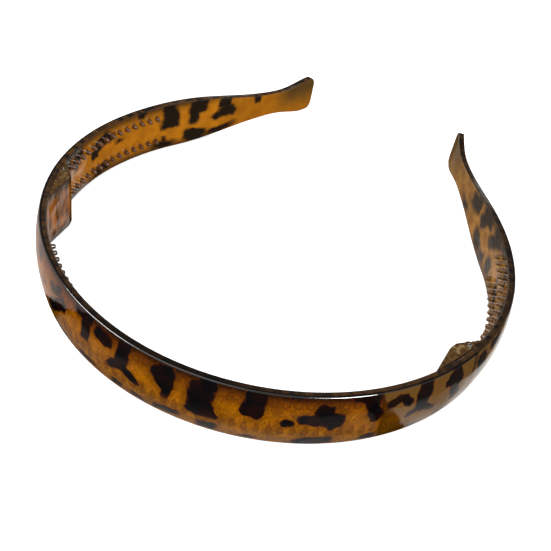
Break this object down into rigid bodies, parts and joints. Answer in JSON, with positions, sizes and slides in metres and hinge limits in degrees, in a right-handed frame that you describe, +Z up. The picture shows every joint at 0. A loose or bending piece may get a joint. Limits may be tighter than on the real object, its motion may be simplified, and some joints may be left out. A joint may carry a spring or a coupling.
{
  "type": "headband",
  "caption": "Folding tortoiseshell plastic headband: a wide crown arc hinged at wedge lugs to two arms, with comb nubs on the inner side and rounded paddle tips",
  "frame": {"origin": "middle of the footprint, on the surface the band stands on when it rests on its lower edge", "axes": "+Z up across the band's width, +Y from the crown toward the arm tips, +X to the wearer's right seen from the crown side of the open band"},
  "size_m": [0.1232, 0.144, 0.0151],
  "materials": {
    "amber_plastic": "polished translucent amber-brown plastic",
    "tortoise_laminate": "polished amber with dark brown-black tortoiseshell blotches",
    "pin_steel": "turned steel"
  },
  "bodies": {
    "crown": {"crown_body": "amber_plastic", "crown_skin": "tortoise_laminate", "left_hinge_pin": "pin_steel", "right_hinge_pin": "pin_steel"},
    "left_arm": {"left_arm_body": "amber_plastic", "left_arm_skin": "tortoise_laminate"},
    "right_arm": {"right_arm_body": "amber_plastic", "right_arm_skin": "tortoise_laminate"}
  },
  "joints": [
    {"name": "left_fold", "type": "hinge", "parent": "crown", "child": "left_arm", "pos_m": [-0.05505, -0.02848, 0.00755], "axis": [0, 0, -1], "range_deg": [0, 74]},
    {"name": "right_fold", "type": "hinge", "parent": "crown", "child": "right_arm", "pos_m": [0.05505, -0.02848, 0.00755], "axis": [0, 0, 1], "range_deg": [0, 62]}
  ]
}
